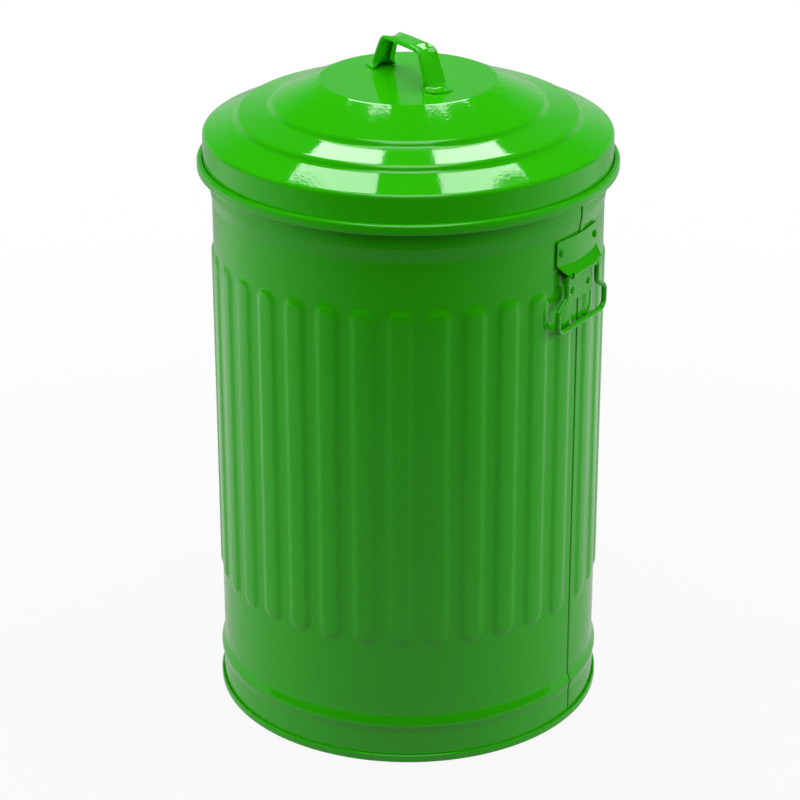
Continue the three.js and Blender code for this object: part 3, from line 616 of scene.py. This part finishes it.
def turned(name, section, columns=ROUND_COLUMNS):
    """Surface of revolution: each (radius, height) of the section goes round Z.

    The section closes on itself, unless both its ends lie on the axis.
    """
    angles = np.arange(columns) * 2 * math.pi / columns
    radius, height = section[:, :1], section[:, 1:]
    points = np.stack([radius * np.cos(angles), radius * np.sin(angles), height + 0 * angles], axis=-1)
    is_open = abs(section[0, 0]) < WELD and abs(section[-1, 0]) < WELD
    return mesh_of(name, points, grid_faces(len(section), columns, close_rows=not is_open))


def joined(name, meshes):
    """One mesh from several, each kept as its own closed shell."""
    work = bmesh.new()
    for mesh in meshes:
        work.from_mesh(mesh)
    whole = bpy.data.meshes.new(name)
    work.to_mesh(whole)
    work.free()
    return smooth(whole)


def placed(mesh, turn=0.0, shift=(0, 0, 0), is_upright=True):
    """Turns a mesh about Z and moves it, in millimetres. If not upright, its own Z first becomes X."""
    co = np.empty(len(mesh.vertices) * 3)
    mesh.vertices.foreach_get("co", co)
    x, y, z = co.reshape(-1, 3).T
    if not is_upright:
        x, z = z, -x
    cos, sin = math.cos(turn), math.sin(turn)
    moved = np.stack([x * cos - y * sin, x * sin + y * cos, z], axis=-1) + np.array(shift) * MM
    mesh.vertices.foreach_set("co", moved.ravel())
    mesh.update()
    return mesh


def add_piece(name, mesh, body, nodes, material):
    """Puts a finished mesh on its body, in place of the plain solids it stands for."""
    mesh.materials.clear()
    mesh.materials.append(material)
    piece = link(bpy.data.objects.new(name, mesh))
    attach(piece, body)
    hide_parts(*nodes)
    return piece


# ------------------------------------------------------------------ can
def rib_height(angle, height):
    """Pressed ribs: full inside a capsule round each rib's middle line, then a smooth fall to its foot."""
    pitches = angle / RIB_PITCH - SEAM_PITCHES / 2
    nearest = np.clip(np.round(pitches), 0, RIB_COUNT - 1)
    across = (pitches - nearest) * RIB_PITCH * WALL_RADIUS
    beyond = height - np.clip(height, RIB_BOTTOM + RIB_FOOT_HALF, RIB_TOP - RIB_FOOT_HALF)
    return RIB_DEPTH * (1 - smoothstep(RIB_CREST_HALF, RIB_FOOT_HALF, np.hypot(across, beyond)))


def seam_height(angle, height, is_outside):
    """Lock seam: a narrow crevice and a proud strip beside it outside, and the fold standing in inside."""
    along = (np.mod(angle + math.pi, 2 * math.pi) - math.pi) * WALL_RADIUS
    half = CREVICE_WIDTH / 2
    crevice = -CREVICE_DEPTH * (1 - smoothstep(half * CREVICE_FLOOR, half, np.abs(along)))
    fall = 1 - smoothstep(half + STRIP_WIDTH, half + STRIP_WIDTH + STRIP_EDGE, along)
    outside = crevice + STRIP_DEPTH * smoothstep(half + STRIP_RISE[0], half + STRIP_RISE[1], along) * fall
    outside = outside * smoothstep(SEAM_BOTTOM, PANEL_TOP, height)
    inside = -FOLD_DEPTH * smoothstep(-half - FOLD_EDGE, -half, along) * fall
    inside = inside * smoothstep(PANEL_TOP, PANEL_TOP + SEAM_RUN_OUT, height)
    return np.where(is_outside, outside, inside) * (1 - smoothstep(COLLAR_TOP, COLLAR_TOP + SHEET, height))


def wall_columns():
    """Angles round the wall: closer across the lock seam, and on each rib closer across its flanks."""
    seam = np.array(SEAM_COLUMNS) / WALL_RADIUS
    middles = (np.arange(RIB_COUNT) + SEAM_PITCHES / 2) * RIB_PITCH
    across = np.array(RIB_COLUMNS) / WALL_RADIUS
    ribs = (middles[:, None] + np.concatenate([-across[:0:-1], across])).ravel()
    valleys = (middles[1:] + middles[:-1]) / 2
    return np.sort(np.concatenate([seam, ribs, valleys]))


def wall_line():
    """Corners of the wall's outer face below and above the ribs, as (radius, height, bend)."""
    left, right = RIM_RADIUS - CURL_INSIDE, RIM_RADIUS + CURL_INSIDE
    flange = CHIME_HEIGHT - SHEET - CLEARANCE
    below = [
        (FOOT_RADIUS + FOOT_FLANGE, flange),
        (FOOT_RADIUS, flange),
        (FOOT_RADIUS, SEAM_BOTTOM),
        (FOOT_RADIUS, PANEL_TOP),
        (FOOT_RADIUS, PANEL_TOP + SEAM_RUN_OUT),
        (FOOT_RADIUS, SWAGE_BOTTOM, SWAGE_BENDS[0]),
        (WALL_RADIUS + SWAGE_DEPTH, SWAGE_BOTTOM + SWAGE_WIDTH * SWAGE_CREST, SWAGE_BENDS[1]),
        (WALL_RADIUS, SWAGE_BOTTOM + SWAGE_WIDTH, SWAGE_BENDS[2]),
        (WALL_RADIUS, RIB_BOTTOM - RIB_MARGIN),
    ]
    above = [
        (WALL_RADIUS, RIB_TOP + RIB_MARGIN),
        (WALL_RADIUS, FLARE_BOTTOM, FLARE_BEND),
        (COLLAR_RADIUS, FLARE_BOTTOM + FLARE_HEIGHT, FLARE_BEND),
        (COLLAR_RADIUS, COLLAR_TOP, COLLAR_BEND),
        (left, COLLAR_TOP + NECK_HEIGHT, NECK_BEND),
        (left, RIM_HEIGHT + CURL_INSIDE, CURL_INSIDE),
        (right, RIM_HEIGHT + CURL_INSIDE, CURL_INSIDE),
        (right, RIM_HEIGHT - CURL_INSIDE, CURL_INSIDE),
        (RIM_RADIUS, RIM_HEIGHT - CURL_INSIDE),
    ]
    return below, above


def can_wall():
    """The wall as a grid: rows along its section, columns round it, moved in and out by ribs and seam."""
    below, above = wall_line()
    sides, is_outside = [], []
    for outside, inset, rows in ((True, 0.0, RIB_END_ROWS), (False, SHEET, RIB_INSIDE_ROWS)):
        end = np.linspace(0, 2 * RIB_FOOT_HALF, rows)
        heights = np.concatenate([RIB_BOTTOM + end, RIB_TOP - end[::-1]])
        band = np.stack([np.full(len(heights), WALL_RADIUS - inset), heights], axis=-1)
        lower, upper = (rounded(to_the_left(line, inset) if inset else line) for line in (below, above))
        side = np.vstack([lower, band, upper])
        sides.append(side if outside else side[::-1])
        is_outside.append(np.full(len(side), outside))
    section, is_outside = np.vstack(sides), np.concatenate(is_outside)[:, None]
    angle, height = wall_columns()[None], section[:, 1:]
    radius = section[:, :1] + seam_height(angle, height, is_outside) + rib_height(angle, height)
    points = np.stack([radius * np.cos(angle), radius * np.sin(angle), height + 0 * angle], axis=-1)
    return mesh_of("can_wall_sheet", points, grid_faces(len(section), angle.size))


def base_plate():
    """Pan: a flat panel, its edge down to the ground, and the chime folded up over the wall's foot."""
    panel_edge = FOOT_RADIUS - SHEET - CLEARANCE - SHEET
    chime = FOOT_RADIUS + FOOT_FLANGE + CLEARANCE + SHEET
    face = [
        (0, BASE_DEPTH),
        (panel_edge, BASE_DEPTH, PAN_BEND),
        (panel_edge, 0),
        (chime, 0, CHIME_BEND),
        (chime, CHIME_HEIGHT, CHIME_BEND),
        (chime - CHIME_LIP, CHIME_HEIGHT),
    ]
    return turned("base_pan", sheet_section(face, SHEET))


def rim_wire():
    """Ring of round wire in the curl of the rim."""
    section = circle((RIM_RADIUS, RIM_HEIGHT), WIRE_RADIUS, round_angles(RIM_WIRE_SIDES))
    return turned("rim_wire_ring", section)


# ------------------------------------------------------------------ lid
def terrace_line():
    """Outer face from the middle of the disc to the shoulder, heights counted from the disc."""
    radius = SHOULDER_RADIUS - sum(TERRACE_WIDTHS) - len(RISER_DROPS) * RISER_WIDTH
    height = 0.0
    line = [(0, 0), (radius, 0, DISC_BEND)]
    for terrace, (width, drop) in enumerate(zip(TERRACE_WIDTHS, TERRACE_DROPS)):
        radius, height = radius + width, height - drop
        if terrace < len(RISER_DROPS):
            line.append((radius, height, RISER_BENDS[0]))
            radius, height = radius + RISER_WIDTH, height - RISER_DROPS[terrace]
            line.append((radius, height, RISER_BENDS[1]))
    return line + [(SHOULDER_RADIUS, height, SHOULDER_BEND)]


def disc_height():
    """Height of the disc at which the last terrace rests just clear of the rolled rim."""
    radius, height = terrace_line()[-1][:2]
    slope = math.atan2(TERRACE_DROPS[-1], TERRACE_WIDTHS[-1])
    over_rim = height + (radius - RIM_RADIUS) * math.tan(slope)
    return RIM_HEIGHT + (CURL_OUTSIDE + CLEARANCE + SHEET) / math.cos(slope) - over_rim


def lid_shell():
    """Lid from its section, with a slot cut for each tab of the handle."""
    line = terrace_line()
    shoulder = line[-1][1]
    bottom = shoulder - SKIRT_DROP
    roll_outside = SKIRT_RADIUS + ROLL_WIDTH - SHEET
    roll_top = bottom + ROLL_HEIGHT - SHEET
    roll_inside = ROLL_RADIUS - SHEET
    line += [
        (SKIRT_TOP_RADIUS, shoulder - SHOULDER_WIDTH * SHOULDER_SLOPE, SHOULDER_BEND),
        (SKIRT_RADIUS, roll_top),
        (SKIRT_RADIUS, bottom + SHEET, roll_inside),
        (roll_outside, bottom + SHEET, roll_inside),
        (roll_outside, roll_top, roll_inside),
        (SKIRT_RADIUS + ROLL_END, roll_top),
    ]
    face = line[::-1]
    section = np.vstack([rounded(to_the_left(face, SHEET))[::-1], rounded(face)])
    shell = link(bpy.data.objects.new("shell", turned("lid_blank", section, LID_COLUMNS)))
    cutters = []
    for turn in (0, math.pi):
        mesh = tab(TAB_WIDTH + 2 * SLOT_OVERRUN, CLEARANCE, -SHEET - SLOT_DEPTH, SLOT_DEPTH, CLEARANCE)
        cutters.append(link(bpy.data.objects.new("slot", placed(mesh, turn + HANDLE_ANGLE))))
        cut = shell.modifiers.new("slot", "BOOLEAN")
        cut.operation = "DIFFERENCE"
        cut.object = cutters[-1]
    mesh = bpy.data.meshes.new_from_object(shell.evaluated_get(bpy.context.evaluated_depsgraph_get()))
    mesh.name = "lid_sheet"
    for used in [shell, *cutters]:
        bpy.data.objects.remove(used)
    return placed(smooth(mesh), 0, (0, 0, disc_height()))


def tab(width, inward, low, high, outward=0.0):
    """Block between two arcs about the tab's own centre, from a low to a high level."""
    half = math.asin(width / 2 / TAB_BOW)
    angles = np.linspace(-half, half, TAB_COLUMNS)
    centre = (HANDLE_TAB_SPAN / 2 - TAB_BOW, 0)
    inside, outside = TAB_BOW - FITTING_SHEET - inward, TAB_BOW + outward
    rows = []
    for radius, level in ((inside, low), (inside, high), (outside, high), (outside, low)):
        rows.append(np.insert(circle(centre, radius, angles), 2, level, axis=1))
    count = len(angles)
    faces = grid_faces(4, count, close_columns=False)
    faces.append([row * count for row in (0, 1, 2, 3)])
    faces.append([row * count + count - 1 for row in (3, 2, 1, 0)])
    return mesh_of("tab", np.array(rows), faces)


def strap_section(half_width, edge, hem):
    """C-shaped section of the strap: its middle line, with half the sheet's thickness on both sides of it.

    The line runs flat, turns down round the shoulder to the edge's depth, and turns in by the hem's
    share of a right angle.
    """
    half = FITTING_SHEET / 2
    radius = min(HANDLE_EDGE_ROUND, edge - LEAST_STRAIGHT) - half
    sweep = hem * math.pi / 2
    straight = max(edge - half - radius - (radius + half) * math.sin(sweep), 0)
    middle = np.array([half_width - half - radius, -half - radius])
    shoulder, lip = np.linspace(math.pi / 2, 0, HEM_POINTS), np.linspace(0, -sweep, HEM_POINTS)
    flat = np.stack([middle[0] * np.array(STRAP_FLAT), np.full(len(STRAP_FLAT), -half)], axis=-1)
    line = np.vstack([flat, circle(middle, radius, shoulder), circle(middle - [0, straight], radius, lip)])
    angles = np.concatenate([np.full(len(flat), math.pi / 2), shoulder, lip, [-sweep]])
    reach = hem * (HANDLE_HEM - radius - half)
    line = np.vstack([line, line[-1] - reach * np.array([math.sin(sweep), math.cos(sweep)])])
    outer, inner = (line + way * half * circle((0, 0), 1, angles) for way in (1, -1))
    flip = np.array([-1, 1])
    return np.vstack([(outer * flip)[::-1], outer, inner[::-1], inner * flip])


def lid_handle():
    """Strap: its section stands square to the bent line at each point.

    It is dented in the middle of the upper bends, and wider, bowed and without its hems at the feet.
    """
    foot_line = FITTING_SHEET + FOOT_EDGE + CLEARANCE
    half = [
        (HANDLE_TOP_LENGTH / 2, HANDLE_HEIGHT, HANDLE_BEND),
        (HANDLE_FOOT_SPAN / 2, FOOT_RISE, FOOT_BEND),
        (HANDLE_TAB_SPAN / 2, foot_line),
    ]
    line = rounded([(-x, *rest) for x, *rest in reversed(half)] + half, hold=STRAP_HOLD)
    line = evenly(line, STRAP_STEP)
    runs = np.gradient(line, axis=0)
    runs /= np.linalg.norm(runs, axis=1)[:, None]
    rings = []
    for (along, height), (run_x, run_y) in zip(line, runs):
        drop = np.clip((HANDLE_HEIGHT - height) / (HANDLE_HEIGHT - FOOT_RISE), 0, 1)
        edge = min(HANDLE_EDGE, max(height - CLEARANCE, FITTING_SHEET + FOOT_EDGE))
        width = HANDLE_WIDTH + (HANDLE_FOOT_WIDTH - HANDLE_WIDTH) * drop
        to_tip = np.clip((abs(along) - FOOT_ROUND) / (HANDLE_TAB_SPAN / 2 - FOOT_ROUND), 0, 1)
        half_width = (TAB_WIDTH + (width - TAB_WIDTH) * math.sqrt(1 - to_tip ** 2)) / 2
        hem = smoothstep(FOOT_RISE + HEM_FADE[0], FOOT_RISE + HEM_FADE[1], height)
        across, out = strap_section(half_width, edge, hem).T
        from_bend = math.hypot(abs(along) - HANDLE_TOP_LENGTH / 2, height - HANDLE_HEIGHT)
        dent = HANDLE_DENT * (1 - smoothstep(0, DENT_REACH, from_bend))
        out = out - dent * (1 - (across / half_width) ** 2)
        bow = TAB_BOW - np.sqrt(TAB_BOW ** 2 - across ** 2)
        bow = bow * smoothstep(BOW_START, 1, drop) * np.sign(along)
        rings.append(np.stack([along - run_y * out - bow, across, height + run_x * out], axis=-1))
    count, last = len(rings[0]), (len(rings) - 1) * len(rings[0])
    faces = grid_faces(len(rings), count, close_rows=False)
    for k in range(count // 2 - 1):
        cap = [k, count - 1 - k, count - 2 - k, k + 1]
        faces += [cap, [last + i for i in reversed(cap)]]
    shells = [mesh_of("strap", np.array(rings), faces)]
    hook_top = -SHEET - CLEARANCE
    for turn in (0, math.pi):
        shells.append(placed(tab(TAB_WIDTH, 0, hook_top - FITTING_SHEET, FITTING_SHEET + FOOT_EDGE), turn))
        shells.append(placed(tab(TAB_WIDTH * HOOK_SHARE, TAB_HOOK, hook_top - FITTING_SHEET, hook_top), turn))
    return placed(joined("lid_handle_strap", shells), HANDLE_ANGLE, (0, 0, disc_height()))


# ------------------------------------------------------------------ side fittings
def corner_drop(across, half):
    """How far a plate's end falls back at a distance from its middle line, for a rounded corner."""
    beyond = np.clip(abs(across) - (half - PLATE_CORNER), 0, PLATE_CORNER)
    return PLATE_CORNER - math.sqrt(PLATE_CORNER ** 2 - beyond ** 2)


def knuckle_line():
    """Outer face from the hood's lip round the bail and through a small reverse bend to the tongue."""
    pivot = np.array([PIVOT_RADIUS, PIVOT_HEIGHT])
    tongue = TONGUE_INSIDE + FITTING_SHEET
    right = tongue + TONGUE_BEND - PIVOT_RADIUS
    centre = pivot + [right, -math.sqrt((KNUCKLE_OUTSIDE + TONGUE_BEND) ** 2 - right ** 2)]
    meet = math.atan2(*(centre - pivot)[::-1])
    wrap = circle(pivot, KNUCKLE_OUTSIDE, np.linspace(math.pi / 4, meet, 16)[1:])
    return np.vstack([wrap, circle(centre, TONGUE_BEND, np.linspace(meet + math.pi, math.pi, 6)[1:])])


def bracket():
    """One bent sheet as a T-shaped grid: columns across it, rows down its path.

    In each column the path falls down the flange, turns out 45 degrees down the hood, goes round the
    knuckle's circle and through a small reverse bend into the tongue. Outside the knuckle's width the
    columns end at the hood's lip and close up towards it.
    """
    lip = np.array([PIVOT_RADIUS, PIVOT_HEIGHT]) + KNUCKLE_OUTSIDE * math.sqrt(0.5)
    flange = FLANGE_INSIDE + FITTING_SHEET
    closing = (FLANGE_HALF - LIP_HALF) / (FLANGE_HALF - TONGUE_HALF)
    corner = PLATE_CORNER * (1 - np.sin(np.linspace(0, math.pi / 2, 6)))
    half = np.concatenate([TONGUE_COLUMNS, TONGUE_HALF - corner, HOOD_COLUMNS, FLANGE_HALF - corner])
    columns = np.concatenate([-half[:0:-1], half])
    knuckle = knuckle_line()
    strips = []
    for across in columns:
        at = math.sqrt(flange ** 2 - across ** 2)
        top = FLANGE_TOP - corner_drop(across, FLANGE_HALF)
        hood = rounded([(at, top), (at, lip[1] + lip[0] - at, CREASE_BEND), tuple(lip)])
        outer = max(abs(across) - TONGUE_HALF, 0)
        side = np.sign(across) * (abs(across) - outer * closing * (hood[:, 0] - at) / (lip[0] - at))
        end = TONGUE_BOTTOM + corner_drop(min(abs(across), TONGUE_HALF), TONGUE_HALF)
        tongue = np.linspace(knuckle[-1, 1], end, 8)[1:]
        tongue = np.stack([np.full(len(tongue), knuckle[-1, 0]), tongue], axis=-1)
        path = np.vstack([hood, knuckle, tongue])
        side = np.concatenate([side, np.full(len(path) - len(hood), across)])
        strips.append(np.stack([path[:, 0], side, path[:, 1]], axis=-1))
    grid = np.array(strips)
    quads = corners_of(np.arange(grid.shape[0] * grid.shape[1]).reshape(grid.shape[:2]))
    is_kept = np.ones(quads.shape[:2], bool)
    is_kept[np.abs(columns[1:] + columns[:-1]) / 2 > TONGUE_HALF, len(hood) - 1:] = False
    return mesh_of("bracket_sheet", grid, quads[is_kept].tolist())


def thicken(piece, thickness, edge):
    """Gives a bent sheet its thickness, behind the face it was drawn with, and eases its cut edges."""
    solid = piece.modifiers.new("thickness", "SOLIDIFY")
    solid.thickness = thickness * MM
    solid.offset = -1
    solid.use_even_offset = True
    ease = piece.modifiers.new("eased_edges", "BEVEL")
    ease.width = edge * MM
    ease.segments = 2
    ease.limit_method = "ANGLE"
    ease.angle_limit = EASED_FROM
    ease.harden_normals = True


def bail():
    """Round wire carried along its bent line: each ring stands square to the line's run."""
    half = [
        (BAIL_END, 0),
        (BAIL_SHOULDER, 0, BAIL_SHOULDER_BEND),
        (BAIL_SHOULDER, -BAIL_KINK_DROP, BAIL_KINK_BEND),
        (BAIL_GRIP, -BAIL_KINK_DROP - BAIL_KINK_HEIGHT, BAIL_KINK_BEND),
        (BAIL_GRIP, -BAIL_DROP, BAIL_CORNER),
    ]
    line = rounded(half + [(-x, *rest) for x, *rest in reversed(half)])
    runs = np.gradient(line, axis=0)
    runs /= np.linalg.norm(runs, axis=1)[:, None]
    around = round_angles(BAIL_SIDES)
    side, out = BAIL_RADIUS * np.cos(around), BAIL_RADIUS * np.sin(around)
    y = line[:, :1] - runs[:, 1:] * side
    z = line[:, 1:] + runs[:, :1] * side
    count, last = len(around), (len(line) - 1) * len(around)
    faces = grid_faces(len(line), count, close_rows=False)
    faces += [list(range(count))[::-1], [last + k for k in range(count)]]
    return mesh_of("bail_wire", np.stack([out + 0 * y, y, z], axis=-1), faces)


def rivet(grip):
    """Rivet from its section: the flat tail formed inside the can, the shank and a domed head."""
    dome = np.linspace(0, math.pi / 2, 9)
    head = np.stack([HEAD_RADIUS * np.cos(dome), HEAD_HEIGHT * np.sin(dome)], axis=-1)
    head[-1, 0] = 0
    end = -grip - TAIL_HEIGHT
    tail = [(0, end), (TAIL_RADIUS * TAIL_FLAT, end), (TAIL_RADIUS, -grip)]
    shank = [(SHANK_RADIUS, -grip), (SHANK_RADIUS, 0)]
    return turned("rivet_body", np.vstack([tail, shank, head]), RIVET_COLUMNS)


def side_fittings(side, turn, paint):
    """Bracket, bail and four rivets of one side."""
    piece = add_piece(f"{side}_bracket", placed(bracket(), turn), "can", [f"{side}_handle_bracket"], paint)
    thicken(piece, FITTING_SHEET, CUT_EDGE)
    pivot = (PIVOT_RADIUS * math.cos(turn), 0, PIVOT_HEIGHT)
    add_piece(f"{side}_wire", placed(bail(), turn, pivot), f"{side}_bail", [f"{side}_bail_handle"], paint)
    number = 0
    for (spacing, height), inside in ((FLANGE_RIVETS, FLANGE_INSIDE), (TONGUE_RIVETS, TONGUE_INSIDE)):
        seat = inside + FITTING_SHEET + CLEARANCE
        spread = math.asin(spacing / 2 / seat)
        for angle in (turn - spread, turn + spread):
            number += 1
            place = (seat * math.cos(angle), seat * math.sin(angle), height)
            mesh = placed(rivet(seat - TAIL_SEAT), angle, place, is_upright=False)
            add_piece(f"{side}_rivet_{number}", mesh, "can", [f"{side}_bracket_rivet_{number}"], paint)


# ------------------------------------------------------------------ the can
green = green_paint()
add_piece("wall", can_wall(), "can", ["can_wall"], green)
add_piece("base", base_plate(), "can", ["base_plate"], green)
add_piece("wire", rim_wire(), "can", ["rim_wire"], zinc_wire())
add_piece("lid_sheet_metal", lid_shell(), "lid", ["lid_shell"], green)
add_piece("handle_strap", lid_handle(), "lid", ["lid_handle"], green)
side_fittings("right", 0, green)
side_fittings("left", math.pi, green)

camera()
world()
lamps()
floor()
